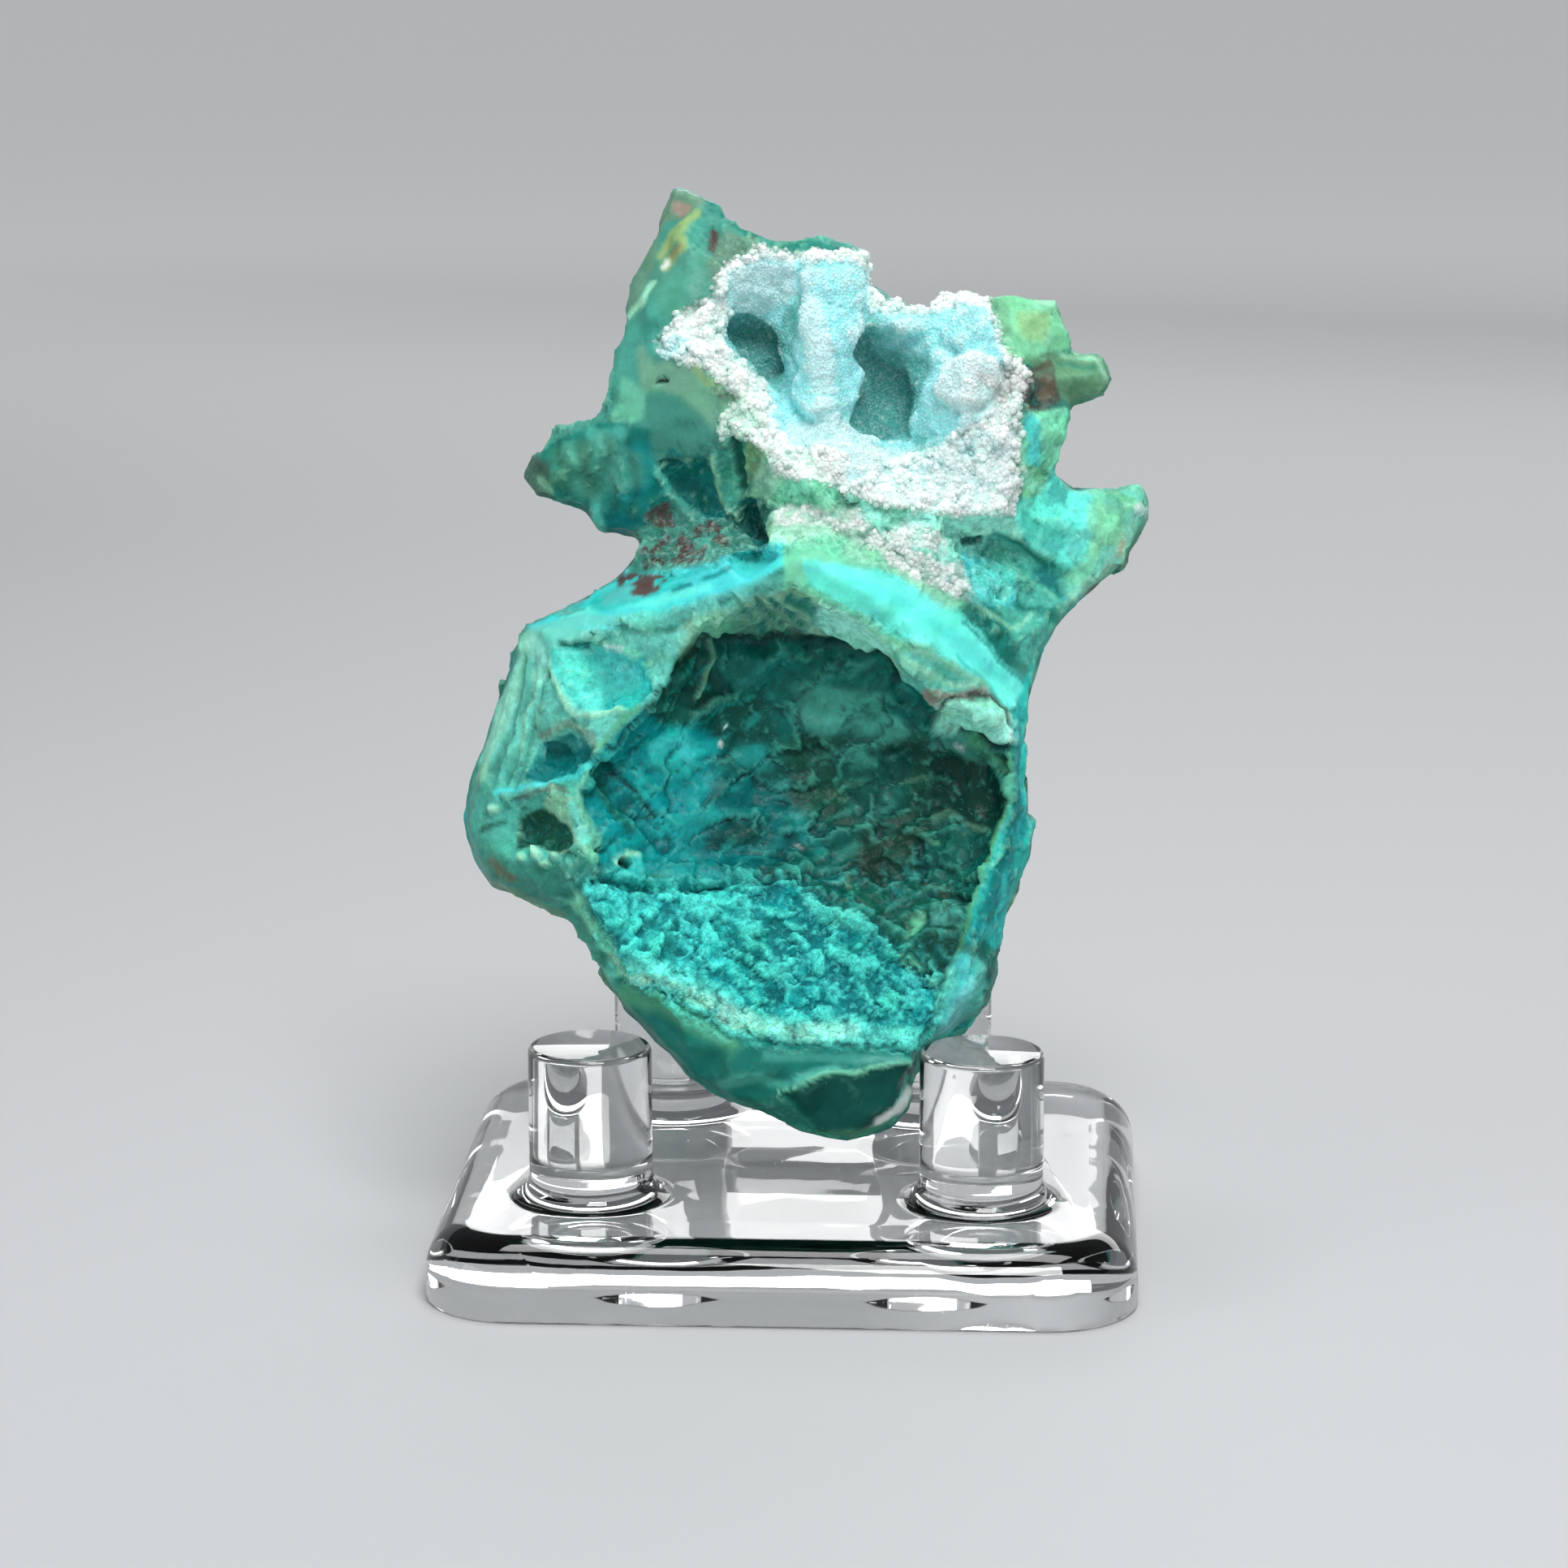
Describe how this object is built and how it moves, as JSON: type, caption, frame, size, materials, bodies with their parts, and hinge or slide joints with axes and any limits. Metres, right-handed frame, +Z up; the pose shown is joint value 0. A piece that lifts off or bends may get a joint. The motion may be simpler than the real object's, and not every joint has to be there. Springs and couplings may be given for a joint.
{
  "type": "chrysocolla and quartz specimen on a stand",
  "caption": "Blue-green broken chrysocolla stone with a glassy hollow face and a sparkling quartz druse, resting in a clear moulded peg stand.",
  "frame": {"origin": "centre of the stand's flat underside", "axes": "+Z up, the stone's hollow face looks towards -Y, +X to the viewer's right"},
  "size_m": [0.0503, 0.046, 0.0754],
  "materials": {
    "chrysocolla": "waxy to glassy broken stone, blue-green with brown and pale green stains",
    "quartz": "sparkling colourless to pale blue crystal crust",
    "clear_plastic": "polished clear moulding"
  },
  "bodies": {
    "root": {"specimen": "chrysocolla", "stand": "clear_plastic"}
  },
  "joints": []
}
